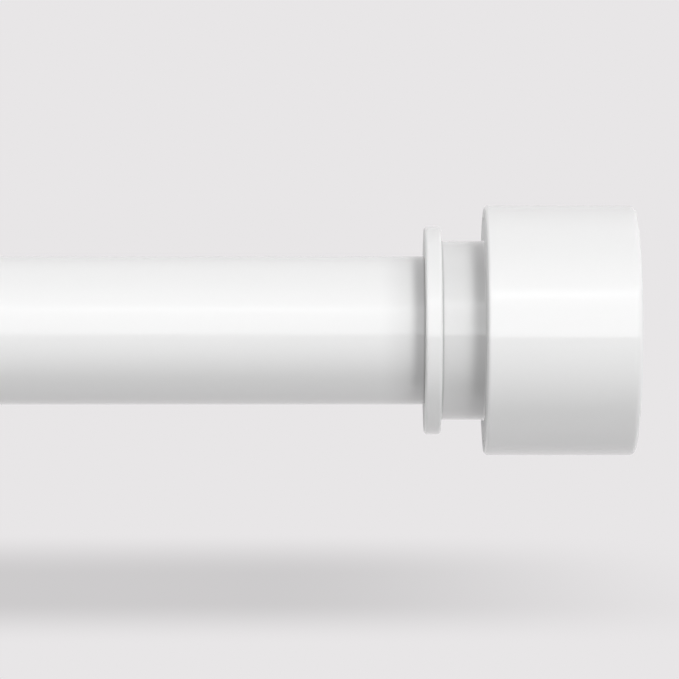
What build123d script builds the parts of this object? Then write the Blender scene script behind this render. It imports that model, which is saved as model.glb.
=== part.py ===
from build123d import *
import os
from math import radians, sin, tan

# Adjustable curtain rod, 1 in tube, with a stepped cap finial at each end. Millimetres.
# X runs along the rod towards the right-hand finial, +Y to the wall behind it and +Z up.
# The origin is on the rod's axis, midway between the two finials as the rod is modelled.

# Length of the rod between the inner faces of the two collars, and how far it is drawn out as modelled
closed_span = 711.2
rest_pull_out = 50.8

# Room for the guide bush and the socket, between the right collar and the inner tube once it is pushed home
home_gap = 61.0

# Tubes
outer_tube_d = 25.4
outer_tube_wall = 0.8
inner_tube_d = 22.2
inner_tube_wall = 0.8
tube_end_chamfer = 0.2

# The outer tube's right end is drawn down a little, so the socket passes and the collar meets a shoulder
seat_d = 25.0
shoulder_gap = 0.05
drawn_blend = 1.5

# Finial as seen from outside: collar, neck and drum
collar_d = 35.5
collar_length = 2.8
collar_edge_r = 0.5
neck_d = 30.5
neck_length = 7.4
neck_fillet_r = 0.3
drum_d = 42.6
drum_length = 25.7
drum_rear_edge_r = 0.6
drum_front_edge_r = 1.0

# Socket inside the base casting
socket_play = 0.1
socket_depth = 21.0
socket_mouth_chamfer = 0.4
socket_wall = 2.3
socket_draft_deg = 1.5
screw_pocket_d = 22.8
screw_pocket_depth = 3.5
web_thickness = 2.5
root_fillet_r = 0.8

# Back plate of the base, and the gussets between it and the socket
plate_thickness = 2.0
gusset_count = 6
gusset_thickness = 1.6
gusset_length = 7.0

# Drum moulding
rim_wall = 1.4
drum_wall = 2.0
drum_end_wall = 2.2
drum_inner_fillet_r = 1.5
seat_play = 0.1
boss_d = 9.0
boss_edge_r = 0.2
drum_rib_count = 6
drum_rib_thickness = 1.4
drum_rib_height = 3.0
key_count = 2
key_width = 2.8
key_height = 0.9

# Screw that holds the drum on the base. The rises of its domed head are shares of the head's height
cap_screw_d = 4.0
cap_screw_length = 9.0
cap_screw_hole_d = 4.6
cap_screw_head_d = 8.0
cap_screw_head_height = 2.4
head_crown_rise_share = 0.15
head_crown_radius_share = 0.62
head_rim_rise_share = 0.55
cap_screw_tip_room = 0.2
recess_width = 1.0
recess_span = 4.4
recess_depth = 1.4

# Grub screws through the back of each neck
grub_screw_d = 4.0
right_grub_length = 3.0
left_grub_length = 4.0
grub_chamfer = 0.4
grub_play = 0.05
grub_tip_gap = 0.05
grub_spot_d = 6.0
grub_spot_depth = 0.25
hex_across_flats = 2.0
hex_depth = 1.6

# Split sleeve between the thin tube and the left socket
sleeve_flange_d = 28.0
sleeve_flange_thickness = 1.0
sleeve_flange_edge_r = 0.4
sleeve_play = 0.1
sleeve_lip_thickness = 0.9
sleeve_lip_d = 20.8
sleeve_slit_width = 1.4
sleeve_hole_play = 0.2

# Moulded liner in the outer tube's mouth
liner_length = 12.0
liner_flange_d = 24.8
liner_flange_thickness = 1.2
liner_flange_chamfer = 0.5
liner_wall = 0.45
liner_play = 0.05
liner_rib_count = 8
liner_rib_width = 1.5
liner_slot_count = 4
liner_slot_width = 1.2
liner_slot_length = 8.0
runner_play = 0.1

# Moulded guide bush on the inner tube's hidden end, held by a bead rolled in the tube
bush_spigot_length = 13.0
bush_wall = 1.8
bush_play = 0.1
bush_flange_d = 23.0
bush_flange_thickness = 2.0
bead_from_end = 6.5
bead_half_width = 1.5
bead_depth = 0.6
finger_count = 6
finger_length = 12.0
finger_wall = 1.1
finger_root_d = 22.6
finger_pad_length = 4.0
finger_slot_width = 2.2
finger_slot_start = 0.8

# Small clearance between pieces of one body that lie face to face
face_gap = 0.05

# How far a cut runs on past the faces that it goes through
cut_past = 1.0

# Places worked out from the sizes above
rest_span = closed_span + rest_pull_out
right_collar_x = rest_span / 2
left_collar_x = -rest_span / 2
mouth_x = left_collar_x + rest_pull_out + sleeve_flange_thickness + liner_flange_thickness
tube_stop_gap = face_gap * 2
outer_tube_end_x = right_collar_x + socket_depth - tube_stop_gap
inner_tube_left_x = left_collar_x - socket_depth + sleeve_lip_thickness + tube_stop_gap * 2
inner_tube_right_x = right_collar_x - rest_pull_out - home_gap

outer_r = outer_tube_d / 2
outer_bore_r = outer_r - outer_tube_wall
inner_r = inner_tube_d / 2
inner_bore_r = inner_r - inner_tube_wall
seat_r = seat_d / 2
socket_r = seat_r + socket_play
neck_end = collar_length + neck_length
plate_front = neck_end + plate_thickness
pocket_end = socket_depth + screw_pocket_depth
web_front = pocket_end + web_thickness
finial_length = neck_end + drum_length
drum_r = drum_d / 2
drum_bore_r = drum_r - drum_wall
rim_bore_r = drum_r - rim_wall
plate_r = rim_bore_r - seat_play
grub_u = collar_length + neck_length / 2


def turned(*edges):
    """Solid of revolution about X from the edges of a closed half profile, drawn as (x, radius)."""
    return revolve(make_face(Wire(edges)), Axis.X, 360)


def turned_outline(*points):
    """Solid of revolution about X from straight lines through (x, radius) points."""
    return revolve(make_face(Polyline(*points, close=True)), Axis.X, 360)


def ring(x_start, x_end, inner_radius, outer_radius):
    """Plain ring about X."""
    return turned_outline(
        (x_start, inner_radius),
        (x_end, inner_radius),
        (x_end, outer_radius),
        (x_start, outer_radius),
    )


def spoke(x_start, x_end, radius_start, radius_end, width):
    """Block along +Y from one radius to another, centred on the rod's axis in Z."""
    size_x = x_end - x_start
    size_y = radius_end - radius_start
    return Pos((x_start + x_end) / 2, (radius_start + radius_end) / 2, 0) * Box(size_x, size_y, width)


def around_axis(piece, count, first_deg=0.0):
    """The piece repeated evenly about X."""
    return [Rot(first_deg + 360 / count * i, 0, 0) * piece for i in range(count)]


def round_edges(piece, x, radius, fillet_r):
    """Fillets the full circle of the given radius at the given place along X."""
    def is_it(edge):
        box = edge.bounding_box()
        flat = abs(box.min.X - x) < 1e-4 and abs(box.max.X - x) < 1e-4
        return flat and abs(box.max.Y - radius) < 1e-3 and abs(box.min.Y + radius) < 1e-3
    return fillet([e for e in piece.edges().filter_by(GeomType.CIRCLE) if is_it(e)], fillet_r)


def right_end(piece):
    """Puts a piece drawn from the collar's inner face outwards on the rod's right end."""
    return Pos(right_collar_x, 0, 0) * piece


def left_end(piece):
    """The same on the left end, turned round about Y so that the grub screw stays at the back."""
    return Pos(left_collar_x, 0, 0) * Rot(0, 180, 0) * piece


def make_outer_tube():
    shoulder_x = right_collar_x - shoulder_gap
    seat_bore_r = seat_r - outer_tube_wall
    c = tube_end_chamfer
    return turned_outline(
        (mouth_x, outer_bore_r + c),
        (mouth_x, outer_r - c),
        (mouth_x + c, outer_r),
        (shoulder_x, outer_r),
        (shoulder_x, seat_r),
        (outer_tube_end_x - c, seat_r),
        (outer_tube_end_x, seat_r - c),
        (outer_tube_end_x, seat_bore_r),
        (shoulder_x, seat_bore_r),
        (shoulder_x - drawn_blend, outer_bore_r),
        (mouth_x + c, outer_bore_r),
    )


def make_inner_tube():
    """Plain tube with one bead rolled inwards near its hidden end, which holds the guide bush."""
    c = tube_end_chamfer
    bead_x = inner_tube_right_x - bead_from_end
    bead_start = bead_x - bead_half_width
    bead_end = bead_x + bead_half_width
    outside = Polyline(
        (bead_start, inner_bore_r),
        (inner_tube_left_x, inner_bore_r),
        (inner_tube_left_x, inner_r - c),
        (inner_tube_left_x + c, inner_r),
        (bead_start, inner_r),
    )
    outer_bead = ThreePointArc((bead_start, inner_r), (bead_x, inner_r - bead_depth), (bead_end, inner_r))
    end = Polyline(
        (bead_end, inner_r),
        (inner_tube_right_x - c, inner_r),
        (inner_tube_right_x, inner_r - c),
        (inner_tube_right_x, inner_bore_r),
        (bead_end, inner_bore_r),
    )
    inner_bead = ThreePointArc(
        (bead_end, inner_bore_r), (bead_x, inner_bore_r - bead_depth), (bead_start, inner_bore_r)
    )
    return turned(*outside.edges(), outer_bead, *end.edges(), inner_bead)


def make_mouth_liner():
    """Flanged sleeve with ribs that the inner tube runs on, split into springy quarters at its inner end."""
    barrel_r = outer_bore_r - liner_play
    barrel_bore_r = barrel_r - liner_wall
    runner_r = inner_r + runner_play
    flange_r = liner_flange_d / 2
    flange_x = mouth_x - liner_flange_thickness
    barrel_end_x = mouth_x + liner_length
    c = liner_flange_chamfer
    body = turned_outline(
        (flange_x, runner_r),
        (flange_x, flange_r - c),
        (flange_x + c, flange_r),
        (mouth_x - face_gap, flange_r),
        (mouth_x - face_gap, barrel_r),
        (barrel_end_x - liner_wall, barrel_r),
        (barrel_end_x, barrel_bore_r),
        (mouth_x, barrel_bore_r),
        (mouth_x, runner_r),
    )
    runner_ring = ring(mouth_x, barrel_end_x - liner_wall, runner_r, barrel_bore_r + liner_wall / 2)
    rib = spoke(mouth_x, barrel_end_x, inner_r, outer_bore_r, liner_rib_width)
    ribs = [runner_ring & r for r in around_axis(rib, liner_rib_count, 180 / liner_rib_count)]
    body = body + ribs
    slot = spoke(barrel_end_x - liner_slot_length, barrel_end_x, inner_r, outer_r, liner_slot_width)
    return body - around_axis(slot, liner_slot_count)


def make_guide_bush():
    """Bush with a grooved spigot in the inner tube, a flange against its end, and spring fingers beyond."""
    end_x = inner_tube_right_x + face_gap
    spigot_r = inner_bore_r - bush_play
    hole_r = spigot_r - bush_wall
    spigot_x = inner_tube_right_x - bush_spigot_length
    bead_x = inner_tube_right_x - bead_from_end
    flange_x = end_x + bush_flange_thickness
    flange_r = bush_flange_d / 2
    outline = Polyline(
        (bead_x + bead_half_width, spigot_r),
        (end_x, spigot_r),
        (end_x, flange_r),
        (flange_x, flange_r),
        (flange_x, hole_r),
        (spigot_x, hole_r),
        (spigot_x, spigot_r - bush_wall / 2),
        (spigot_x + bush_wall / 2, spigot_r),
        (bead_x - bead_half_width, spigot_r),
    )
    groove = ThreePointArc(
        (bead_x - bead_half_width, spigot_r),
        (bead_x, spigot_r - bead_depth),
        (bead_x + bead_half_width, spigot_r),
    )
    body = turned(*outline.edges(), groove)
    return body + make_spring_fingers(flange_x)


def make_spring_fingers(flange_x):
    """Ring of cantilever fingers whose swelled tips run in the outer tube."""
    root_r = finger_root_d / 2
    inside_r = root_r - finger_wall
    pad_r = outer_bore_r - bush_play
    tip_x = flange_x + finger_length
    pad_x = tip_x - finger_pad_length
    sides = Polyline(
        (tip_x, root_r),
        (tip_x, inside_r),
        (flange_x - face_gap, inside_r),
        (flange_x - face_gap, root_r),
        (pad_x, root_r),
    )
    pad = ThreePointArc((pad_x, root_r), ((pad_x + tip_x) / 2, pad_r), (tip_x, root_r))
    fingers = turned(*sides.edges(), pad)
    slot = spoke(flange_x + finger_slot_start, tip_x, inside_r - finger_wall, outer_r, finger_slot_width)
    return fingers - around_axis(slot, finger_count)


def make_finial_base():
    """Die casting drawn from the collar's inner face outwards: collar, neck, back plate and socket."""
    collar_r = collar_d / 2
    neck_r = neck_d / 2
    hub_r = socket_r + socket_wall
    hub_end_r = hub_r - (web_front - plate_front) * tan(radians(socket_draft_deg))
    pocket_r = screw_pocket_d / 2
    hole_r = cap_screw_hole_d / 2
    c = socket_mouth_chamfer
    body = turned_outline(
        (0, socket_r + c),
        (0, collar_r),
        (collar_length, collar_r),
        (collar_length, neck_r),
        (neck_end, neck_r),
        (neck_end, plate_r),
        (plate_front, plate_r),
        (plate_front, hub_r),
        (web_front, hub_end_r),
        (web_front, hole_r),
        (pocket_end, hole_r),
        (pocket_end, pocket_r),
        (socket_depth, pocket_r),
        (socket_depth, socket_r),
        (c, socket_r),
    )
    body = round_edges(body, 0, collar_r, collar_edge_r)
    body = round_edges(body, collar_length, collar_r, collar_edge_r)
    body = round_edges(body, collar_length, neck_r, neck_fillet_r)
    body = round_edges(body, neck_end, neck_r, neck_fillet_r)
    body = round_edges(body, plate_front, hub_r, root_fillet_r)
    body = round_edges(body, web_front, hub_end_r, root_fillet_r)
    body = body + around_axis(make_gusset(hub_r, hub_end_r), gusset_count, 180 / gusset_count)
    return body - grub_hole(neck_r, socket_r) - plate_notches()


def make_gusset(hub_r, hub_end_r):
    """Sloping web from the socket's wall down to the back plate's edge."""
    slope_end_r = plate_r - gusset_thickness
    web = Polyline(
        (plate_front - face_gap, hub_end_r - root_fillet_r),
        (plate_front + gusset_length, hub_end_r - root_fillet_r),
        (plate_front + gusset_length, hub_r),
        (plate_front, slope_end_r),
        (plate_front - face_gap, slope_end_r),
        close=True,
    )
    return extrude(make_face(web), gusset_thickness / 2, both=True)


def grub_hole(neck_r, bore_r):
    """Hole through the back of the neck, with a small flat round it for the screw."""
    inside = bore_r - grub_screw_d / 2
    length = neck_r + grub_spot_depth - inside
    hole = Pos(grub_u, inside, 0) * Rot(-90, 0, 0) * Cylinder(
        grub_screw_d / 2 + grub_play, length, align=(Align.CENTER, Align.CENTER, Align.MIN)
    )
    flat = Pos(grub_u, neck_r - grub_spot_depth, 0) * Rot(-90, 0, 0) * Cylinder(
        grub_spot_d / 2, grub_spot_depth * 2, align=(Align.CENTER, Align.CENTER, Align.MIN)
    )
    return [hole, flat]


def plate_notches():
    """Notches in the back plate's edge, above and below, that take the drum's keys."""
    depth = key_height + seat_play * 2
    width = key_width + seat_play * 2
    notch = spoke(neck_end - cut_past, plate_front + cut_past, plate_r - depth, plate_r + cut_past, width)
    return around_axis(notch, key_count, 90)


def make_finial_cap():
    """Drum drawn from the collar's inner face outwards: a cup with a rebate for the back plate."""
    end = finial_length
    floor = end - drum_end_wall
    seat = plate_front + face_gap
    cup = turned_outline(
        (neck_end, rim_bore_r),
        (neck_end, drum_r),
        (end, drum_r),
        (end, 0),
        (floor, 0),
        (floor, drum_bore_r),
        (seat, drum_bore_r),
        (seat, rim_bore_r),
    )
    cup = round_edges(cup, neck_end, drum_r, drum_rear_edge_r)
    cup = round_edges(cup, end, drum_r, drum_front_edge_r)
    cup = round_edges(cup, floor, drum_bore_r, drum_inner_fillet_r)
    boss_start = web_front + face_gap
    boss = turned_outline(
        (boss_start, 0),
        (boss_start, boss_d / 2),
        (floor + face_gap, boss_d / 2),
        (floor + face_gap, 0),
    )
    boss = round_edges(boss, boss_start, boss_d / 2, boss_edge_r)
    ribs = around_axis(make_drum_rib(floor, boss_start), drum_rib_count, 180 / drum_rib_count)
    cup = cup + boss + ribs
    key = spoke(neck_end, seat + face_gap, rim_bore_r - key_height, rim_bore_r + rim_wall / 2, key_width)
    cup = cup + around_axis(key, key_count, 90)
    hole_end = pocket_end + cap_screw_length + cap_screw_tip_room
    hole = turned_outline(
        (boss_start, 0),
        (boss_start, cap_screw_d / 2 + face_gap),
        (hole_end, cap_screw_d / 2 + face_gap),
        (hole_end + cap_screw_d / 4, 0),
    )
    return cup - hole


def make_drum_rib(floor, boss_start):
    """Rib on the drum's floor from the boss out to the wall, taller at the boss."""
    web = Polyline(
        (floor + face_gap, boss_d / 4),
        (boss_start + boss_d / 4, boss_d / 4),
        (boss_start + boss_d / 4, boss_d / 2),
        (floor - drum_rib_height, boss_d),
        (floor - drum_rib_height / 2, drum_bore_r + face_gap),
        (floor + face_gap, drum_bore_r + face_gap),
        close=True,
    )
    return extrude(make_face(web), drum_rib_thickness / 2, both=True)


def make_cap_screw():
    """Pan-head screw with a cross recess, its head in the socket's pocket."""
    head_x = pocket_end - cap_screw_head_height
    head_r = cap_screw_head_d / 2
    shank_r = cap_screw_d / 2
    tip_x = pocket_end + cap_screw_length
    crown = (head_x + head_crown_rise_share * cap_screw_head_height, head_crown_radius_share * head_r)
    rim = (head_x + head_rim_rise_share * cap_screw_head_height, head_r)
    dome = ThreePointArc((head_x, 0), crown, rim)
    sides = Polyline(
        rim,
        (pocket_end - face_gap / 2, head_r),
        (pocket_end - face_gap / 2, shank_r),
        (tip_x - shank_r / 2, shank_r),
        (tip_x, shank_r / 2),
        (tip_x, 0),
        (head_x, 0),
    )
    screw = turned(dome, *sides.edges())
    bar = Pos(head_x + recess_depth / 2, 0, 0) * Box(recess_depth, recess_span, recess_width)
    return screw - [bar, Rot(90, 0, 0) * bar]


def make_grub_screw(tip_r, length):
    """Hex-socket grub screw with a cup point, drawn along +Y from the tube that it clamps."""
    r = grub_screw_d / 2
    c = grub_chamfer
    outline = make_face(Polyline(
        (0, c),
        (r - 2 * c, 0),
        (r - c, 0),
        (r, c),
        (r, length - c),
        (r - c, length),
        (0, length),
        close=True,
    ))
    screw = revolve(outline, Axis.Y, 360)
    socket_plane = Plane(origin=(0, length, 0), x_dir=(1, 0, 0), z_dir=(0, 1, 0))
    hexagon = socket_plane * RegularPolygon(hex_across_flats / 2, 6, major_radius=False)
    screw = screw - extrude(hexagon, -hex_depth)
    return Pos(grub_u, tip_r, 0) * screw


def make_reducer_sleeve():
    """Split sleeve between the thin tube and the left socket, with a flange outside and a lip inside."""
    outside_r = socket_r - sleeve_play
    inside_r = inner_r + sleeve_play
    end = socket_depth - tube_stop_gap
    lip = end - sleeve_lip_thickness
    body = turned_outline(
        (-sleeve_flange_thickness, inside_r),
        (-sleeve_flange_thickness, sleeve_flange_d / 2),
        (-face_gap, sleeve_flange_d / 2),
        (-face_gap, outside_r),
        (end, outside_r),
        (end, sleeve_lip_d / 2),
        (lip, sleeve_lip_d / 2),
        (lip, inside_r),
    )
    body = round_edges(body, -sleeve_flange_thickness, sleeve_flange_d / 2, sleeve_flange_edge_r)
    slit = spoke(-sleeve_flange_thickness, end, -sleeve_flange_d / 2, 0, sleeve_slit_width)
    hole = Pos(grub_u, inside_r, 0) * Rot(-90, 0, 0) * Cylinder(
        grub_screw_d / 2 + sleeve_hole_play, sleeve_flange_d / 4
    )
    return body - slit - hole


nodes = {
    "outer_tube": make_outer_tube(),
    "mouth_liner": make_mouth_liner(),
    "inner_tube": make_inner_tube(),
    "guide_bush": make_guide_bush(),
    "left_reducer_sleeve": left_end(make_reducer_sleeve()),
}
for side, place, clamped_r, grub_length in (
    ("right", right_end, seat_r, right_grub_length),
    ("left", left_end, inner_r, left_grub_length),
):
    nodes[side + "_finial_base"] = place(make_finial_base())
    nodes[side + "_finial_cap"] = place(make_finial_cap())
    nodes[side + "_cap_screw"] = place(make_cap_screw())
    nodes[side + "_grub_screw"] = place(make_grub_screw(clamped_r + grub_tip_gap, grub_length))

os.makedirs("parts", exist_ok=True)
for name, piece in nodes.items():
    export_step(piece, "parts/" + name + ".step")
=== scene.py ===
"""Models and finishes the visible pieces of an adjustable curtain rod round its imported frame."""

from math import atan2, cos, hypot, pi, radians, sin, tan

import bmesh
import bpy
from bpy.props import FloatProperty, FloatVectorProperty, IntProperty, PointerProperty
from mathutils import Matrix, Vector


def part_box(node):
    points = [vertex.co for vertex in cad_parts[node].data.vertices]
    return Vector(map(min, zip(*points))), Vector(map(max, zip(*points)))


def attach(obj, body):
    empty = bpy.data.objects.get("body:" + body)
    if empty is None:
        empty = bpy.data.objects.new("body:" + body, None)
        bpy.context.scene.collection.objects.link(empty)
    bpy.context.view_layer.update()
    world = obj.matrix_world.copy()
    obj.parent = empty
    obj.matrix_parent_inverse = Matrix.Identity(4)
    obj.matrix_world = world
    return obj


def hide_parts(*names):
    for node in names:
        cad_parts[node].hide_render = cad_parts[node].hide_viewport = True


bl_info = {
    "name": "Curtain Rod Finish",
    "version": (1, 0, 0),
    "blender": (4, 5, 0),
    "location": "View3D > Sidebar > Curtain Rod",
    "description": "Models and finishes the pieces of an adjustable curtain rod",
    "category": "Add Mesh",
}

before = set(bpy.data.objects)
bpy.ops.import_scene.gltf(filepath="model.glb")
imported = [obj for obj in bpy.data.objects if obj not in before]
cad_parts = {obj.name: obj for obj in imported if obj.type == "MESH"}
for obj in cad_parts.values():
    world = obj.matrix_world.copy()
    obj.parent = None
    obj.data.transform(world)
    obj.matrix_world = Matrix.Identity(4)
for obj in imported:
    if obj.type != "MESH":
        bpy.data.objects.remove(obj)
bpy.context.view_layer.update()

MM = 0.001

# Sides of a turned piece, and of a small one
ROUND = 192
FINE_ROUND = 96

# Rings along each tube between its worked ends
TUBE_RINGS = 12

# Clearance between faces that meet, and how far a cutting piece stands out of what it cuts
CLEAR = 0.05 * MM
CUT_PAST = 1 * MM

# Points nearer than this are merged, and a ring is found by its place to within this
MERGE = 0.0005 * MM
SAME_PLACE = 0.01 * MM

# Faces that meet at less than this are shaded as one, and large faces lead the shading this strongly
SMOOTH_BELOW = radians(32)
LEAD_OF_LARGE_FACES = 80

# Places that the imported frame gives: (lowest corner, highest corner) of each node, in metres
outer_tube_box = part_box("outer_tube")
inner_tube_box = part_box("inner_tube")
liner_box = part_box("mouth_liner")
sleeve_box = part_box("left_reducer_sleeve")
base_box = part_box("right_finial_base")
cap_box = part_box("right_finial_cap")
cap_screw_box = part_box("right_cap_screw")
bush_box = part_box("guide_bush")
right_grub_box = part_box("right_grub_screw")
left_grub_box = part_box("left_grub_screw")
collar_x = base_box[0].x


def size(name, description, value):
    """A length that a user may change, in metres."""
    return FloatProperty(
        name=name, description=description, default=value, min=0.0, precision=5, unit="LENGTH"
    )


def share(name, description, value):
    """A plain number from nought to one."""
    return FloatProperty(
        name=name, description=description, default=value, min=0.0, max=1.0, subtype="FACTOR"
    )


def how_many(name, description, value):
    """How often a shape stands round the rod's axis."""
    return IntProperty(name=name, description=description, default=value, min=2)


def pixels(name, description, value):
    """A length in the picture."""
    return FloatProperty(name=name, description=description, default=value, subtype="PIXEL")


def coordinate(name, description, value):
    """A place along an axis that a user may change, in metres."""
    return FloatProperty(name=name, description=description, default=value, precision=4, unit="LENGTH")


def tint(name, description, value):
    """A colour that a user may change."""
    return FloatVectorProperty(
        name=name, description=description, default=value, min=0.0, max=1.0, subtype="COLOR"
    )


class TubeSizes(bpy.types.PropertyGroup):
    wall: size("Wall", "Thickness of both tubes' steel", 0.8 * MM)
    end_chamfer: size("End chamfer", "Chamfer on the cut ends of the tubes", 0.2 * MM)
    seat_diameter: size("Seat diameter", "Outer tube where it is drawn down for the finial", 25.0 * MM)
    shoulder_gap: size("Shoulder gap", "Gap between the outer tube's shoulder and the collar", 0.05 * MM)
    drawn_blend: size("Drawn blend", "Length of the inside taper at the shoulder", 1.5 * MM)
    bead_from_end: size("Bead place", "Rolled bead, measured from the inner tube's hidden end", 6.5 * MM)
    bead_half_width: size("Bead half width", "Half the width of the rolled bead", 1.5 * MM)
    bead_depth: size("Bead depth", "How far the bead is rolled inwards", 0.6 * MM)


class FinialSizes(bpy.types.PropertyGroup):
    collar_diameter: size("Collar diameter", "Outside of the thin collar", 35.5 * MM)
    collar_length: size("Collar length", "Thickness of the collar along the rod", 2.8 * MM)
    collar_edge: size("Collar edge", "Rounding of the collar's rims", 0.5 * MM)
    neck_diameter: size("Neck diameter", "Outside of the neck", 30.5 * MM)
    root_fillet: size("Root fillet", "Small fillets at both ends of the neck", 0.3 * MM)
    socket_diameter: size("Socket diameter", "Bore that goes over the tube", 25.2 * MM)
    socket_depth: size("Socket depth", "From the collar's face to the ledge inside", 21.0 * MM)
    socket_chamfer: size("Socket chamfer", "Lead-in at the socket's mouth", 0.4 * MM)
    socket_wall: size("Socket wall", "Thickness of the socket inside the drum", 2.3 * MM)
    socket_draft: FloatProperty(
        name="Draft", description="Taper of the socket", default=radians(1.5), unit="ROTATION"
    )
    pocket_diameter: size("Pocket diameter", "Pocket for the screw's head", 22.8 * MM)
    pocket_depth: size("Pocket depth", "Depth of that pocket past the ledge", 3.5 * MM)
    screw_hole: size("Screw hole", "Diameter of the hole for the drum's screw", 4.6 * MM)
    hub_fillet: size("Hub fillet", "Fillet between the socket and the back plate", 0.8 * MM)
    plate_thickness: size("Plate thickness", "Back plate that closes the drum", 2.0 * MM)
    gussets: how_many("Gussets", "How many webs stand between the socket and the plate", 6)
    gusset_thickness: size("Gusset thickness", "Thickness of those webs", 1.6 * MM)
    gusset_length: size("Gusset length", "Length of those webs along the rod", 7.0 * MM)
    rim_wall: size("Rim wall", "Drum's wall round the back plate", 1.4 * MM)
    drum_wall: size("Drum wall", "Drum's wall", 2.0 * MM)
    drum_end_wall: size("Drum end wall", "Thickness of the drum's flat end", 2.2 * MM)
    drum_rear_edge: size("Drum rear edge", "Rounding of the drum's rim at the neck", 0.6 * MM)
    drum_front_edge: size("Drum front edge", "Rounding of the drum's rim at its end", 1.0 * MM)
    drum_inner_fillet: size("Drum inner fillet", "Fillet inside the drum's end", 1.5 * MM)
    boss_diameter: size("Boss diameter", "Boss that takes the drum's screw", 9.0 * MM)
    boss_bore: size("Boss bore", "Hole in the boss", 4.1 * MM)
    ribs: how_many("Ribs", "How many ribs the drum's floor has", 6)
    rib_thickness: size("Rib thickness", "Thickness of those ribs", 1.4 * MM)
    rib_height: size("Rib height", "Height of those ribs at twice the boss's radius", 3.0 * MM)
    rib_root: size("Rib root", "How deep they run into the boss", 0.5 * MM)
    keys: how_many("Keys", "How many keys stop the drum turning on its base", 2)
    key_width: size("Key width", "Width of those keys", 2.8 * MM)
    key_height: size("Key height", "How far the keys stand in", 0.9 * MM)
    key_play: size("Key play", "How much larger the notches for the keys are", 0.2 * MM)
    grub_spot: size("Grub spot", "Flat round the grub screw's hole", 6.0 * MM)
    grub_spot_depth: size("Grub spot depth", "Depth of that flat", 0.25 * MM)


class SmallPartSizes(bpy.types.PropertyGroup):
    grub_diameter: size("Grub screw", "Thread of the grub screws", 4.0 * MM)
    grub_chamfer: size("Grub chamfer", "Chamfer on both ends of the grub screws", 0.4 * MM)
    hex_width: size("Hex width", "Across the flats of the grub screws' sockets", 2.0 * MM)
    hex_depth: size("Hex depth", "Depth of those sockets", 1.6 * MM)
    thread_pitch: size("Thread pitch", "Pitch of the grub screws", 0.7 * MM)
    thread_depth: size("Thread depth", "Depth of the grub screws' thread", 0.22 * MM)
    sleeve_flange: size("Sleeve flange", "Thickness of the split sleeve's flange", 1.0 * MM)
    sleeve_edge: size("Sleeve edge", "Rounding of that flange's rim", 0.4 * MM)
    sleeve_wall_gap: size("Sleeve play", "Gap on both sides of the split sleeve", 0.1 * MM)
    sleeve_lip: size("Sleeve lip", "Thickness of the lip that stops the tube", 0.9 * MM)
    sleeve_lip_bore: size("Sleeve lip bore", "Hole through that lip", 20.8 * MM)
    sleeve_slit: size("Sleeve slit", "Width of the slit along the sleeve", 1.4 * MM)
    sleeve_hole: size("Sleeve hole", "Hole that the grub screw passes through", 4.4 * MM)
    liner_flange: size("Liner flange", "Thickness of the mouth liner's flange", 1.2 * MM)
    liner_chamfer: size("Liner chamfer", "Chamfer that leads curtain rings over the flange", 0.5 * MM)
    liner_edge: size("Liner edge", "Rounding of the hole in the flange", 0.15 * MM)
    liner_wall: size("Liner wall", "Thickness of the liner's barrel", 0.45 * MM)
    liner_play: size("Liner play", "Gap between the liner and the outer tube", 0.05 * MM)
    runner_play: size("Runner play", "Gap between the liner's ribs and the inner tube", 0.1 * MM)
    liner_ribs: how_many("Liner ribs", "How many ribs the inner tube runs on", 8)
    liner_rib: size("Liner rib", "Width of the liner's ribs", 1.5 * MM)
    liner_slots: how_many("Liner slots", "How many slots the barrel has", 4)
    liner_slot: size("Liner slot", "Width of the liner's slots", 1.2 * MM)
    liner_slot_length: size("Liner slot length", "Length of the liner's slots", 8.0 * MM)
    bush_wall: size("Bush wall", "Thickness of the guide bush's spigot", 1.8 * MM)
    bush_play: size("Bush play", "Gap between the guide bush and the tubes", 0.1 * MM)
    bush_flange_diameter: size("Bush flange diameter", "Outside of the guide bush's flange", 23.0 * MM)
    bush_flange: size("Bush flange", "Thickness of that flange", 2.0 * MM)
    bush_edge: size("Bush edge", "Rounding of that flange's rims", 0.2 * MM)
    fingers: how_many("Fingers", "How many spring fingers the bush has", 6)
    finger_root: size("Finger root", "Diameter over the fingers at their root", 22.6 * MM)
    finger_wall: size("Finger wall", "Thickness of the fingers", 1.1 * MM)
    finger_pad: size("Finger pad", "Length of the swelling at the fingers' tips", 4.0 * MM)
    finger_slot: size("Finger slot", "Width of the slots between the fingers", 2.2 * MM)
    finger_slot_start: size("Finger slot start", "From the flange to the slots", 0.8 * MM)
    screw_head_height: size("Screw head height", "Height of the drum screw's pan head", 2.4 * MM)
    head_rim: share("Head rim", "Where the dome ends, as a share of the head's height", 0.55)
    crown_rise: share("Crown rise", "Where the dome's middle is, as a share of that height", 0.15)
    crown_radius: share("Crown radius", "How far out the dome's middle is, as a share of the head's", 0.62)
    screw_neck: size("Screw neck", "Plain shank under the head", 0.5 * MM)
    recess_width: size("Recess width", "Width of the cross recess", 1.0 * MM)
    recess_span: size("Recess span", "Span of the cross recess", 4.4 * MM)
    recess_depth: size("Recess depth", "Depth of the cross recess", 1.4 * MM)


class RodFinish(bpy.types.PropertyGroup):
    paint: tint("Paint", "White gloss on the tubes", (0.88, 0.88, 0.88))
    casting: tint("Casting", "White gloss on the castings", (0.86, 0.86, 0.86))
    drum: tint("Drum", "White gloss of the drum mouldings", (0.88, 0.88, 0.88))
    moulding: tint("Moulding", "Natural white of the hidden mouldings", (0.80, 0.79, 0.76))
    steel: tint("Steel", "Zinc plate on the screws", (0.62, 0.63, 0.65))
    paint_roughness: share("Paint roughness", "How matt the coat is under its gloss", 0.30)
    # Painted shade: how much darker the colour is in the neck's recess between collar and drum
    recess_shade: share("Thin paint", "How much darker the thin paint in the neck's recess is", 0.13)
    # Painted shade: how much darker the colour is in the corners at the collar
    corner_shade: share("Corner depth", "How much darker the corners at the collar are", 0.30)
    gloss_roughness: share("Gloss roughness", "How sharp the gloss is", 0.03)


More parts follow.
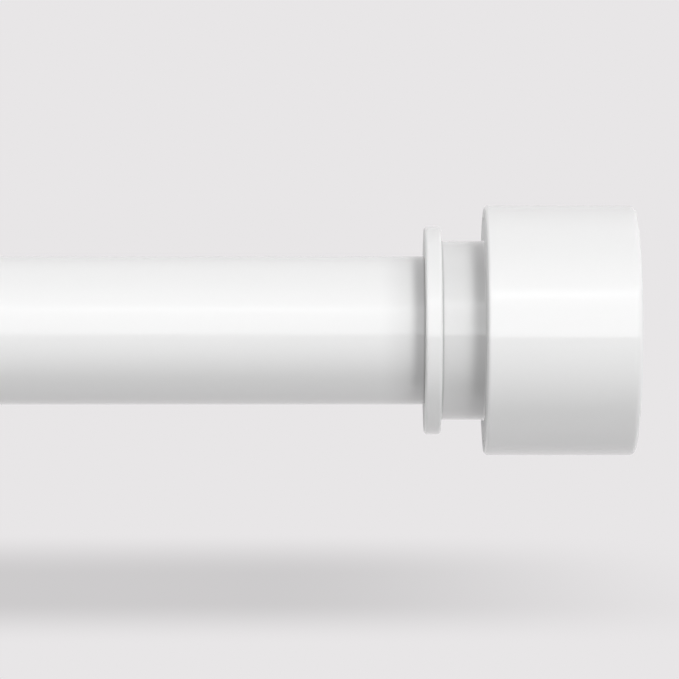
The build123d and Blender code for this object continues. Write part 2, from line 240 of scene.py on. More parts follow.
class StageSettings(bpy.types.PropertyGroup):
    picture_side: pixels("Picture side", "Side of the square picture", 679)
    focal_length: pixels("Focal length", "The lens, in pixels of the picture", 4028)
    tube_height: pixels("Tube height", "Height of the outer tube in the picture", 148.5)
    axis_row: pixels("Axis row", "Row of the picture that the rod's axis lies on", 330.3)
    collar_column: pixels("Collar column", "Column of the collar's inner face", 423.9)
    floor_drop: size("Floor drop", "How far the floor lies below the rod's axis", 44.6 * MM)
    floor_half: size("Floor half side", "Half the side of the floor", 6.0)
    # The shade under the rod is painted on the floor by place, not cast by the rod
    shade_depth: share("Shade depth", "How dark the shade under the rod is", 0.245)
    shade_near_end: coordinate("Shade near end", "Where the shade ends on the room side, along Y", -0.120)
    shade_near_full: coordinate("Shade near full", "Where it is full on that side", -0.024)
    shade_far_end: coordinate("Shade far end", "Where the shade ends on the wall side, along Y", 0.211)
    shade_far_full: coordinate("Shade far full", "Where it is full on that side", 0.044)
    shade_right_end: coordinate("Shade right end", "Where it ends past the right finial, along X", 0.445)
    shade_right_full: coordinate("Shade right full", "Where it is full on that side", 0.350)
    shade_left_end: coordinate("Shade left end", "Where it ends past the left finial, along X", -1.0)
    shade_left_full: coordinate("Shade left full", "Where it is full on that side", -0.4)
    backdrop: tint("Backdrop", "Colour of the floor and the background", (0.807, 0.791, 0.799))


def deselect_everything():
    """Leaves edit mode and drops the selection, because an operator acts on all that is selected."""
    if bpy.context.mode != "OBJECT":
        bpy.ops.object.mode_set(mode="OBJECT")
    bpy.ops.object.select_all(action="DESELECT")


def pick(piece):
    """Makes one piece the only one selected, and the active one."""
    deselect_everything()
    piece.select_set(True)
    bpy.context.view_layer.objects.active = piece


def settle(piece):
    """Puts the piece's place into its mesh and leaves its object at the origin."""
    pick(piece)
    bpy.ops.object.transform_apply(location=True, rotation=True, scale=True)


def select_ring(piece, x, radius):
    """Selects the edges of one ring about the rod's axis."""
    def on_ring(place):
        out = hypot(place.y, place.z)
        return abs(place.x - x) < SAME_PLACE and abs(out - radius) < SAME_PLACE

    bpy.ops.mesh.select_mode(type="EDGE")
    bpy.ops.mesh.select_all(action="DESELECT")
    mesh = bmesh.from_edit_mesh(piece.data)
    for edge in mesh.edges:
        if on_ring(edge.verts[0].co) and on_ring(edge.verts[1].co):
            edge.select_set(True)
    bmesh.update_edit_mesh(piece.data)


def draw_out(start, end):
    """Extrudes the selected ring from one (x, radius) to the next."""
    bpy.ops.mesh.extrude_region_move(TRANSFORM_OT_translate={"value": (end[0] - start[0], 0, 0)})
    if start[1] != end[1]:
        scale = end[1] / start[1]
        bpy.ops.transform.resize(value=(1, scale, scale), center_override=(end[0], 0, 0))


def turn(name, outline, rounding=(), segments=ROUND):
    """Turns a piece about the rod's axis from its (x, radius) outline, then rounds the named rings.

    An outline that starts and ends on the axis makes a solid. Any other is closed back to its start.
    Each rounding is (x, radius, size of the fillet, steps in it).
    """
    deselect_everything()
    solid = outline[0][1] == 0
    first = outline[1] if solid else outline[0]
    bpy.ops.mesh.primitive_circle_add(
        vertices=segments, radius=first[1], location=(first[0], 0, 0), rotation=(0, pi / 2, 0)
    )
    piece = bpy.context.object
    piece.name = name
    piece.data.name = name
    settle(piece)
    bpy.ops.object.mode_set(mode="EDIT")
    if solid:
        bpy.ops.mesh.select_all(action="SELECT")
        draw_out(first, outline[0])
        select_ring(piece, *first)
        route = outline[1:]
    else:
        bpy.ops.mesh.select_all(action="SELECT")
        route = [*outline, first]
    for start, end in zip(route, route[1:]):
        draw_out(start, end)
    bpy.ops.mesh.select_all(action="SELECT")
    bpy.ops.mesh.remove_doubles(threshold=MERGE)
    for x, radius, amount, steps in rounding:
        select_ring(piece, x, radius)
        bpy.ops.mesh.bevel(offset_type="OFFSET", offset=amount, segments=steps, profile=0.5, affect="EDGES")
    bpy.ops.mesh.select_all(action="SELECT")
    bpy.ops.mesh.normals_make_consistent(inside=False)
    bpy.ops.object.mode_set(mode="OBJECT")
    return piece


def plate(name, corners, thickness, turned=0.0):
    """A flat shape of that thickness with (x, height) corners above the axis, turned about the axis."""
    deselect_everything()
    bpy.ops.mesh.primitive_circle_add(vertices=len(corners), radius=1, fill_type="NGON")
    piece = bpy.context.object
    piece.name = name
    bpy.ops.object.mode_set(mode="EDIT")
    mesh = bmesh.from_edit_mesh(piece.data)
    mesh.verts.ensure_lookup_table()
    for vertex, (x, height) in zip(mesh.verts, corners):
        vertex.co = Vector((x, height, -thickness / 2))
    bmesh.update_edit_mesh(piece.data)
    bpy.ops.mesh.select_all(action="SELECT")
    bpy.ops.mesh.extrude_region_move(TRANSFORM_OT_translate={"value": (0, 0, thickness)})
    bpy.ops.mesh.select_all(action="SELECT")
    bpy.ops.mesh.normals_make_consistent(inside=False)
    bpy.ops.object.mode_set(mode="OBJECT")
    piece.rotation_euler = (turned, 0, 0)
    settle(piece)
    return piece


def spoke(x_start, x_end, low, high, width, turned=0.0):
    """A block that stands out from the axis between two radii."""
    corners = [(x_start, low), (x_end, low), (x_end, high), (x_start, high)]
    return plate("spoke", corners, width, turned)


def peg(x, low, high, radius, sides=FINE_ROUND):
    """A round or polygonal peg along +Y, through the back of the rod."""
    deselect_everything()
    bpy.ops.mesh.primitive_cylinder_add(
        vertices=sides, radius=radius, depth=high - low,
        location=(x, (low + high) / 2, 0), rotation=(-pi / 2, 0, 0),
    )
    piece = bpy.context.object
    piece.name = "peg"
    settle(piece)
    return piece


def gather(pieces):
    """Joins pieces that don't touch into one."""
    pick(pieces[0])
    for piece in pieces:
        piece.select_set(True)
    bpy.ops.object.join()
    return bpy.context.object


def spread(piece, count, offset=0.0):
    """Puts copies of a piece evenly round the rod's axis and joins them into one.

    They don't touch each other. An offset of a half turns them all by half a step.
    """
    copies = [piece]
    for _ in range(1, count):
        pick(piece)
        bpy.ops.object.duplicate()
        copies.append(bpy.context.object)
    for i, copy in enumerate(copies):
        copy.rotation_euler = (2 * pi * (i + offset) / count, 0, 0)
        settle(copy)
    return gather(copies)


def combine(piece, other, operation):
    """Adds another piece to this one, or cuts it away, and removes the other."""
    pick(piece)
    bpy.ops.object.modifier_add(type="BOOLEAN")
    modifier = piece.modifiers[-1]
    modifier.operation = operation
    modifier.solver = "EXACT"
    modifier.object = other
    bpy.ops.object.modifier_apply(modifier=modifier.name)
    bpy.data.objects.remove(other)
    return piece


def arc(start, middle, end, steps):
    """Points on the circle through three (x, radius) points, both ends with them."""
    (ax, ay), (bx, by), (cx, cy) = start, middle, end
    d = 2 * (ax * (by - cy) + bx * (cy - ay) + cx * (ay - by))
    a2, b2, c2 = ax * ax + ay * ay, bx * bx + by * by, cx * cx + cy * cy
    ox = (a2 * (by - cy) + b2 * (cy - ay) + c2 * (ay - by)) / d
    oy = (a2 * (cx - bx) + b2 * (ax - cx) + c2 * (bx - ax)) / d
    radius = hypot(ax - ox, ay - oy)
    first = atan2(ay - oy, ax - ox)
    last = atan2(cy - oy, cx - ox)
    through = atan2(by - oy, bx - ox)
    sweep = (last - first) % (2 * pi)
    if (through - first) % (2 * pi) > sweep:
        sweep -= 2 * pi
    turned = [first + sweep * i / steps for i in range(1, steps)]
    return [start, *[(ox + radius * cos(t), oy + radius * sin(t)) for t in turned], end]


def dress(piece, body, nodes, material):
    """Smooths a finished piece, gives it its material, hangs it on its body and hides the nodes that it
    replaces.
    """
    pick(piece)
    bpy.ops.object.shade_smooth_by_angle(angle=SMOOTH_BELOW)
    bpy.ops.object.modifier_add(type="WEIGHTED_NORMAL")
    modifier = piece.modifiers[-1]
    modifier.keep_sharp = True
    modifier.weight = LEAD_OF_LARGE_FACES
    bpy.ops.object.modifier_apply(modifier=modifier.name)
    piece.data.materials.clear()
    piece.data.materials.append(material)
    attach(piece, body)
    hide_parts(*nodes)


def copy_to_left(piece, name):
    """Copies a finished piece of the right end, turned half round about Y, to the left end."""
    pick(piece)
    bpy.ops.object.duplicate()
    twin = bpy.context.object
    twin.name = name
    twin.data.name = name
    twin.rotation_euler = (0, pi, 0)
    settle(twin)
    return twin


class Value:
    """A number, colour or vector in a shader. Python's arithmetic on numbers adds Math nodes."""

    def __init__(self, tree, socket):
        self.tree = tree
        self.socket = socket

    def __add__(self, other):
        return maths("ADD", self, other)

    def __radd__(self, other):
        return maths("ADD", other, self)

    def __sub__(self, other):
        return maths("SUBTRACT", self, other)

    def __rsub__(self, other):
        return maths("SUBTRACT", other, self)

    def __mul__(self, other):
        return maths("MULTIPLY", self, other)

    def __rmul__(self, other):
        return maths("MULTIPLY", other, self)

    def __truediv__(self, other):
        return maths("DIVIDE", self, other)


def connect(tree, term, socket):
    """Links a shader value to a socket, or sets a plain one on it."""
    if isinstance(term, Value):
        tree.links.new(term.socket, socket)
    else:
        socket.default_value = term


def maths(operation, *terms):
    """Adds a Math node for terms of which one at least is a shader value."""
    tree = next(term.tree for term in terms if isinstance(term, Value))
    node = tree.nodes.new("ShaderNodeMath")
    node.operation = operation
    for place, term in enumerate(terms):
        connect(tree, term, node.inputs[place])
    return Value(tree, node.outputs[0])


class Recipe:
    """Node tree of one material or of the world."""

    def __init__(self, owner):
        owner.use_nodes = True
        self.tree = owner.node_tree
        self.tree.nodes.clear()

    def add(self, kind, settings=None, sockets=None, output=0):
        """Adds a node, makes its settings, fills its sockets and returns one of its outputs.

        A tuple of outputs returns a list of them, and None returns nothing.
        """
        node = self.tree.nodes.new(kind)
        for name, setting in (settings or {}).items():
            if name == "stops":
                self.set_stops(node.color_ramp, setting)
            else:
                setattr(node, name, setting)
        for name, term in (sockets or {}).items():
            connect(self.tree, term, node.inputs[name])
        if output is None:
            return None
        if isinstance(output, tuple):
            return [Value(self.tree, node.outputs[name]) for name in output]
        return Value(self.tree, node.outputs[output])

    @staticmethod
    def set_stops(ramp, stops):
        """Sets a grey ramp's stops from (position, value) pairs."""
        while len(ramp.elements) < len(stops):
            ramp.elements.new(0.5)
        for element, (position, value) in zip(ramp.elements, stops):
            element.position = position
            element.color = (value, value, value, 1)

    def place(self):
        """The piece's own coordinates, in metres."""
        return self.add("ShaderNodeTexCoord", output="Object")

    def split(self, vector):
        """The three parts of a place or a direction."""
        return self.add("ShaderNodeSeparateXYZ", None, {0: vector}, ("X", "Y", "Z"))

    def noise(self, place, lump, detail=2.0, roughness=0.5):
        """Soft noise about 0.5, with lumps of about that many metres."""
        return self.add("ShaderNodeTexNoise", None, {
            "Vector": place, "Scale": 1 / lump, "Detail": detail, "Roughness": roughness,
        })

    def soft_step(self, value, start, end):
        """Nought before the start and one past the end, with a smooth rise between them."""
        return self.add("ShaderNodeMapRange", {"interpolation_type": "SMOOTHSTEP"}, {
            "Value": value, "From Min": start, "From Max": end,
        })

    def mix_colours(self, amount, one, other):
        """The first colour at nought and the other at one. A Mix node's colours are sockets 6 and 7."""
        return self.add("ShaderNodeMix", {"data_type": "RGBA"}, {"Factor": amount, 6: one, 7: other}, 2)

    def mix_shaders(self, amount, one, other):
        """The first shader at nought and the other at one."""
        return self.add("ShaderNodeMixShader", None, {0: amount, 1: one, 2: other})

    def bump(self, height, distance):
        """The normal of a surface that rises by a height times a distance in metres."""
        return self.add("ShaderNodeBump", None, {"Height": height, "Distance": distance, "Strength": 1.0})

    def finish(self, shader, kind="ShaderNodeOutputMaterial"):
        """Leads the finished shader to the material's output, or to the world's."""
        self.add(kind, None, {"Surface": shader}, output=None)


def new_recipe(name):
    """A new material and its recipe."""
    material = bpy.data.materials.new(name)
    return material, Recipe(material)


def shaded(colour, amount=1.0):
    """A colour made lighter or darker, with its alpha."""
    return (*[min(1.0, channel * amount) for channel in colour], 1.0)


def along_and_out(recipe, place):
    """How far a place lies from the rod's middle, either way along it, and from its axis."""
    x, y, z = recipe.split(place)
    return maths("ABSOLUTE", x), maths("SQRT", y * y + z * z)


def on_planes(recipe, place, planes):
    """One on faces that lie in a plane square to the rod, at any of these distances from its middle."""
    same_plane = 0.02 * MM
    x, y, z = recipe.split(place)
    along = maths("ABSOLUTE", x)
    found = 0.0
    for plane in planes:
        found = found + maths("LESS_THAN", maths("ABSOLUTE", along - plane), same_plane)
    return found


def in_recess(recipe, place, start, end, radius):
    """One on what lies between two distances from the rod's middle and close to a radius or within it."""
    blend = 0.1 * MM
    reach = 0.5 * MM
    along, out = along_and_out(recipe, place)
    past_start = recipe.soft_step(along, start - blend, start)
    before_end = recipe.soft_step(along, end + blend, end)
    within = recipe.soft_step(out, radius + reach, radius + blend)
    return past_start * before_end * within


def near_ring(recipe, place, from_middle, radius, full, reach):
    """One within a distance of a ring about the rod and nought out of its reach.

    The ring lies at a distance from the rod's middle, on either side of it.
    """
    along, out = along_and_out(recipe, place)
    beside = along - from_middle
    above = out - radius
    return recipe.soft_step(maths("SQRT", beside * beside + above * above), reach, full)


def weld_line(recipe, place):
    """A narrow rise along a tube's back, where its weld was dressed before painting."""
    half_width = 0.6 * MM
    flat = 0.1 * MM
    x, y, z = recipe.split(place)
    return recipe.soft_step(maths("ABSOLUTE", z), half_width, flat) * maths("GREATER_THAN", y, 0.0)


def gloss_white(name, colour, finish, peel_size, peel_height,
                dry_planes=(), recess=None, corners=(), seam=0.0, rubbing=0.0, coat_index=1.5):
    """White gloss coat: a faint orange peel, faint drift in tone and a few dull patches of handling.

    Faces that look back along the rod get a drier coat, and the recess between collar and drum a painted
    shade.
    Each corner is a ring of (distance from the middle, radius, full within, reach, depth) with a painted
    shade that darkens it by the depth.
    A seam is the height of a tube's dressed weld along its back. Rubbing dulls a tube in streaks along it.
    """
    drift_size = 60 * MM
    drift_share = 0.008
    handling_size = 14 * MM
    handling_share = 0.06
    dry_share = 0.3
    streak_width = 0.5 * MM
    streak_stretch = (0.01, 1, 1)
    streak_low, streak_high = 0.5, 0.75

    material, recipe = new_recipe(name)
    place = recipe.place()
    dry = on_planes(recipe, place, dry_planes)

    drift = recipe.noise(place, drift_size, detail=3.0)
    coat = recipe.mix_colours(drift, shaded(colour, 1 - drift_share), shaded(colour, 1 + drift_share))
    # Painted shade: the colour is darkened in the recess and at the corners, where shade would fall
    painted_shade = 0.0
    if recess:
        painted_shade = in_recess(recipe, place, *recess) * finish.recess_shade
    for *ring, depth in corners:
        painted_shade = painted_shade + depth * near_ring(recipe, place, *ring)
    if recess or corners:
        coat = recipe.mix_colours(painted_shade, coat, (0, 0, 0, 1))

    handling = recipe.noise(place, handling_size, detail=4.0, roughness=0.6)
    roughness = finish.paint_roughness + (handling - 0.5) * handling_share + dry * dry_share
    if rubbing:
        stretched = recipe.add(
            "ShaderNodeVectorMath", {"operation": "MULTIPLY"}, {0: place, 1: streak_stretch}
        )
        streaks = recipe.noise(stretched, streak_width, detail=3.0, roughness=0.7)
        roughness = roughness + rubbing * recipe.soft_step(streaks, streak_low, streak_high)

    height = recipe.noise(place, peel_size) * peel_height
    if seam:
        height = height + seam * weld_line(recipe, place)
    recipe.finish(recipe.add("ShaderNodeBsdfPrincipled", None, {
        "Base Color": coat,
        "Roughness": roughness,
        "Coat Weight": 1 - dry,
        "Coat Roughness": finish.gloss_roughness,
        "Coat IOR": coat_index,
        "Normal": recipe.bump(height, 1.0),
    }))
    return material


def satin_moulding(name, finish):
    """Natural white nylon with a fine sparked texture."""
    grain_size = 0.25 * MM
    grain_height = 0.01 * MM
    drift_size = 9 * MM
    dark_share, light_share = 0.97, 1.03
    plain_roughness = 0.5
    roughness_range = 0.2

    material, recipe = new_recipe(name)
    place = recipe.place()
    grain = recipe.noise(place, grain_size, detail=3.0, roughness=0.6)
    drift = recipe.noise(place, drift_size)
    recipe.finish(recipe.add("ShaderNodeBsdfPrincipled", None, {
        "Base Color": recipe.mix_colours(
            drift, shaded(finish.moulding, dark_share), shaded(finish.moulding, light_share)
        ),
        "Roughness": plain_roughness + (grain - 0.5) * roughness_range,
        "Normal": recipe.bump(grain, grain_height),
    }))
    return material


def plated_steel(name, finish):
    """Zinc plate with faint turning marks and cloudy patches."""
    cloud_size = 1.5 * MM
    mark_size = 0.12 * MM
    mark_height = 0.004 * MM
    dark_share, light_share = 0.85, 1.1
    plain_roughness = 0.28
    roughness_range = 0.25

    material, recipe = new_recipe(name)
    place = recipe.place()
    cloud = recipe.noise(place, cloud_size, detail=4.0)
    marks = recipe.noise(place, mark_size)
    recipe.finish(recipe.add("ShaderNodeBsdfPrincipled", None, {
        "Base Color": recipe.mix_colours(
            cloud, shaded(finish.steel, dark_share), shaded(finish.steel, light_share)
        ),
        "Metallic": 1.0,
        "Roughness": plain_roughness + (cloud - 0.5) * roughness_range,
        "Normal": recipe.bump(marks, mark_height),
    }))
    return material


def tube_gloss(name, finish, **more):
    """Gloss of both tubes, with the dressed weld along their backs."""
    return gloss_white(
        name, finish.paint, finish, peel_size=1.6 * MM, peel_height=0.002 * MM, seam=0.012 * MM, **more
    )


def outer_tube_gloss(name, finish):
    """The outer tube has a painted shade right at the collar, and a faint painted shade for a few
    millimetres before it.
    """
    radius = outer_tube_box[1].z
    at_collar = (collar_x, radius, 0.12 * MM, 0.4 * MM, 0.7 * finish.corner_shade)
    before_collar = (collar_x - 2.7 * MM, radius, 0.4 * MM, 5.4 * MM, 0.3 * finish.corner_shade)
    return tube_gloss(name, finish, corners=[at_collar, before_collar])


def inner_tube_gloss(name, finish):
    """The inner tube is rubbed in streaks by the liner."""
    return tube_gloss(name, finish, rubbing=0.25)


def casting_gloss(name, finish):
    """The castings are dry on their hidden faces, with a painted shade in the neck's recess and a darker
    painted shade at its root.
    """
    sizes = bpy.context.scene.rod_finial
    root = collar_x + sizes.collar_length
    neck = sizes.neck_diameter / 2
    return gloss_white(
        name, finish.casting, finish, peel_size=1.1 * MM, peel_height=0.002 * MM,
        dry_planes=[collar_x, cap_box[0].x],
        recess=(root, cap_box[0].x, neck),
        corners=[(root, neck, 0.135 * MM, 0.45 * MM, finish.corner_shade)],
        coat_index=1.6,
    )


def drum_gloss(name, finish):
    """The drums have the smoothest coat, which is dry on the rim that faces the collar."""
    return gloss_white(
        name, finish.drum, finish, peel_size=2.2 * MM, peel_height=0.001 * MM,
        dry_planes=[cap_box[0].x],
        coat_index=1.6,
    )


FINISHES = {
    "tube white gloss": outer_tube_gloss,
    "inner tube white gloss": inner_tube_gloss,
    "casting white gloss": casting_gloss,
    "drum white gloss": drum_gloss,
    "natural white moulding": satin_moulding,
    "zinc plated steel": plated_steel,
}


def material_named(name):
    """One of the rod's finishes, made the first time that a piece asks for it."""
    return bpy.data.materials.get(name) or FINISHES[name](name, bpy.context.scene.rod_finish)


class CURTAINROD_OT_outer_tube(bpy.types.Operator):
    """Models the outer tube with its drawn seat for the right finial"""
    bl_idname = "curtainrod.outer_tube"
    bl_label = "Outer Tube"

    def execute(self, context):
        sizes = context.scene.rod_tubes
        low, high = outer_tube_box
        radius = high.z
        bore = radius - sizes.wall
        seat = sizes.seat_diameter / 2
        seat_bore = seat - sizes.wall
        shoulder = collar_x - sizes.shoulder_gap
        c = sizes.end_chamfer
        mouth_edge = low.x + c
        # A ring this far from each end keeps the tube's shading even there
        support = 1 * MM
        along = [mouth_edge + (shoulder - mouth_edge) * i / TUBE_RINGS for i in range(1, TUBE_RINGS)]
        outline = [
            (low.x, bore + c),
            (low.x, radius - c),
            (mouth_edge, radius),
            (low.x + support, radius),
            *[(x, radius) for x in along],
            (shoulder - support, radius),
            (shoulder, radius),
            (shoulder, seat),
            (high.x - c, seat),
            (high.x, seat - c),
            (high.x, seat_bore),
            (shoulder, seat_bore),
            (shoulder - sizes.drawn_blend, bore),
            *[(x, bore) for x in reversed(along)],
            (mouth_edge, bore),
        ]
        piece = turn("outer_tube_shell", outline)
        dress(piece, "outer", ["outer_tube"], material_named("tube white gloss"))
        return {"FINISHED"}


class CURTAINROD_OT_inner_tube(bpy.types.Operator):
    """Models the inner tube with the bead rolled near its hidden end"""
    bl_idname = "curtainrod.inner_tube"
    bl_label = "Inner Tube"

    def execute(self, context):
        sizes = context.scene.rod_tubes
        low, high = inner_tube_box
        radius = high.z
        bore = radius - sizes.wall
        c = sizes.end_chamfer
        bead_x = high.x - sizes.bead_from_end
        half = sizes.bead_half_width
        start, end = bead_x - half, bead_x + half
        along = [low.x + (start - low.x) * i / TUBE_RINGS for i in range(1, TUBE_RINGS)]
        outline = [
            (low.x, bore),
            (low.x, radius - c),
            (low.x + c, radius),
            *[(x, radius) for x in along],
            *arc((start, radius), (bead_x, radius - sizes.bead_depth), (end, radius), 10),
            (high.x - c, radius),
            (high.x, radius - c),
            (high.x, bore),
            *arc((end, bore), (bead_x, bore - sizes.bead_depth), (start, bore), 10),
            *[(x, bore) for x in reversed(along)],
        ]
        piece = turn("inner_tube_shell", outline)
        dress(piece, "inner", ["inner_tube"], material_named("inner tube white gloss"))
        return {"FINISHED"}


class CURTAINROD_OT_mouth_liner(bpy.types.Operator):
    """Models the ribbed and slotted liner in the outer tube's mouth"""
    bl_idname = "curtainrod.mouth_liner"
    bl_label = "Mouth Liner"

    def execute(self, context):
        tubes = context.scene.rod_tubes
        sizes = context.scene.rod_small_parts
        low, high = liner_box
        mouth = low.x + sizes.liner_flange
        barrel = outer_tube_box[1].z - tubes.wall - sizes.liner_play
        barrel_bore = barrel - sizes.liner_wall
        runner = inner_tube_box[1].z + sizes.runner_play
        c = sizes.liner_chamfer
        outline = [
            (low.x, runner),
            (low.x, high.z - c),
            (low.x + c, high.z),
            (mouth - CLEAR, high.z),
            (mouth - CLEAR, barrel),
            (high.x - sizes.liner_wall, barrel),
            (high.x, barrel_bore),
            (mouth, barrel_bore),
            (mouth, runner),
        ]
        rounding = [(low.x, runner, sizes.liner_edge, 3)]
        piece = turn("mouth_liner_shell", outline, rounding)
        end = high.x - sizes.liner_wall
        rib = spoke(mouth - CLEAR, end, runner, barrel_bore + CLEAR, sizes.liner_rib)
        combine(piece, spread(rib, sizes.liner_ribs, 0.5), "UNION")
        slot_start = high.x - sizes.liner_slot_length
        slot = spoke(slot_start, high.x + CUT_PAST, runner - CUT_PAST, high.z, sizes.liner_slot)
        combine(piece, spread(slot, sizes.liner_slots), "DIFFERENCE")
        dress(piece, "outer", ["mouth_liner"], material_named("natural white moulding"))
        return {"FINISHED"}


class CURTAINROD_OT_finial_bases(bpy.types.Operator):
    """Models the right finial's collar, neck, back plate and socket, and copies them to the left"""
    bl_idname = "curtainrod.finial_bases"
    bl_label = "Finial Bases"

    def execute(self, context):
        sizes = context.scene.rod_finial
        grub = context.scene.rod_small_parts
        low, high = base_box
        face = low.x
        collar = sizes.collar_diameter / 2
        neck = sizes.neck_diameter / 2
        socket = sizes.socket_diameter / 2
        pocket = sizes.pocket_diameter / 2
        hole = sizes.screw_hole / 2
        neck_end = cap_box[0].x
        plate_front = neck_end + sizes.plate_thickness
        plate_edge = high.y
        hub = socket + sizes.socket_wall
        web = high.x
        hub_end = hub - (web - plate_front) * tan(sizes.socket_draft)
        collar_end = face + sizes.collar_length
        ledge = face + sizes.socket_depth
        pocket_end = ledge + sizes.pocket_depth
        c = sizes.socket_chamfer
        # Rings this far beside a rounding keep the faces there flat
        support = 0.5 * MM
        outline = [
            (face, socket + c),
            (face, collar - sizes.collar_edge - support),
            (face, collar),
            (collar_end, collar),
            (collar_end, collar - sizes.collar_edge - support),
            (collar_end, neck),
            (collar_end + support, neck),
            (neck_end - support, neck),
            (neck_end, neck),
            (neck_end, plate_edge),
            (plate_front, plate_edge),
            (plate_front, hub),
            (web, hub_end),
            (web, hole),
            (pocket_end, hole),
            (pocket_end, pocket),
            (ledge, pocket),
            (ledge, socket),
            (face + c, socket),
        ]
        rounding = [
            (face, collar, sizes.collar_edge, 6),
            (collar_end, collar, sizes.collar_edge, 6),
            (collar_end, neck, sizes.root_fillet, 3),
            (neck_end, neck, sizes.root_fillet, 3),
            (plate_front, hub, sizes.hub_fillet, 4),
            (web, hub_end, sizes.hub_fillet, 4),
        ]
        right = turn("right_finial_base_shell", outline, rounding)
        web_corners = [
            (plate_front - CLEAR, hub_end - sizes.hub_fillet),
            (plate_front + sizes.gusset_length, hub_end - sizes.hub_fillet),
            (plate_front + sizes.gusset_length, hub),
            (plate_front, plate_edge - sizes.gusset_thickness),
            (plate_front - CLEAR, plate_edge - sizes.gusset_thickness),
        ]
        gusset = plate("gusset", web_corners, sizes.gusset_thickness)
        combine(right, spread(gusset, sizes.gussets, 0.5), "UNION")
        grub_x = (right_grub_box[0].x + right_grub_box[1].x) / 2
        bore = peg(grub_x, socket - CUT_PAST, neck + CUT_PAST, grub.grub_diameter / 2 + CLEAR)
        combine(right, bore, "DIFFERENCE")
        spot = peg(grub_x, neck - sizes.grub_spot_depth, neck + CUT_PAST, sizes.grub_spot / 2)
        combine(right, spot, "DIFFERENCE")
        notch_floor = plate_edge - sizes.key_height - sizes.key_play
        notch_width = sizes.key_width + sizes.key_play
        notch = spoke(
            neck_end - CUT_PAST, plate_front + CUT_PAST, notch_floor, plate_edge + CUT_PAST, notch_width
        )
        combine(right, spread(notch, sizes.keys, 0.5), "DIFFERENCE")
        left = copy_to_left(right, "left_finial_base_shell")
        paint = material_named("casting white gloss")
        dress(right, "right_finial", ["right_finial_base"], paint)
        dress(left, "left_finial", ["left_finial_base"], paint)
        return {"FINISHED"}


class CURTAINROD_OT_finial_caps(bpy.types.Operator):
    """Models the right finial's drum moulding and copies it to the left"""
    bl_idname = "curtainrod.finial_caps"
    bl_label = "Finial Drums"

    def execute(self, context):
        sizes = context.scene.rod_finial
        low, high = cap_box
        radius = high.z
        bore = radius - sizes.drum_wall
        rim_bore = radius - sizes.rim_wall
        floor = high.x - sizes.drum_end_wall
        seat = low.x + sizes.plate_thickness + CLEAR
        boss_start = base_box[1].x + CLEAR
        boss = sizes.boss_diameter / 2
        boss_bore = sizes.boss_bore / 2
        rib_start = boss - sizes.rib_root
        rib_top = boss_start + boss / 2
        # Rings this far past a rounding keep the faces there flat, and each disc has one more ring
        support = 0.6 * MM
        outline = [
            (floor, 0),
            (floor, boss * 1.5),
            (floor, bore - sizes.drum_inner_fillet - support),
            (floor, bore),
            (floor - sizes.drum_inner_fillet - support, bore),
            (seat, bore),
            (seat, rim_bore),
            (low.x, rim_bore),
            (low.x, radius),
            (low.x + sizes.drum_rear_edge + support, radius),
            (high.x - sizes.drum_front_edge - support, radius),
            (high.x, radius),
            (high.x, radius - sizes.drum_front_edge - support),
            (high.x, radius / 2),
            (high.x, 0),
        ]
        rounding = [
            (floor, bore, sizes.drum_inner_fillet, 6),
            (low.x, radius, sizes.drum_rear_edge, 6),
            (high.x, radius, sizes.drum_front_edge, 8),
        ]
        right = turn("right_finial_cap_shell", outline, rounding)
        boss_piece = turn("boss", [
            (boss_start, boss_bore),
            (boss_start, boss),
            (floor + CLEAR, boss),
            (floor + CLEAR, boss_bore),
        ], segments=FINE_ROUND)
        rib_corners = [
            (floor + CLEAR, rib_start),
            (rib_top, rib_start),
            (rib_top, boss),
            (floor - sizes.rib_height, 2 * boss),
            (floor - sizes.rib_height / 2, bore + CLEAR),
            (floor + CLEAR, bore + CLEAR),
        ]
        rib = plate("rib", rib_corners, sizes.rib_thickness)
        key_foot = rim_bore + sizes.rim_wall / 4
        key = spoke(low.x, seat + CLEAR, rim_bore - sizes.key_height, key_foot, sizes.key_width)
        combine(right, boss_piece, "UNION")
        ribs_and_keys = gather([spread(rib, sizes.ribs, 0.5), spread(key, sizes.keys, 0.5)])
        combine(right, ribs_and_keys, "UNION")
        left = copy_to_left(right, "left_finial_cap_shell")
        gloss = material_named("drum white gloss")
        dress(right, "right_finial", ["right_finial_cap"], gloss)
        dress(left, "left_finial", ["left_finial_cap"], gloss)
        return {"FINISHED"}


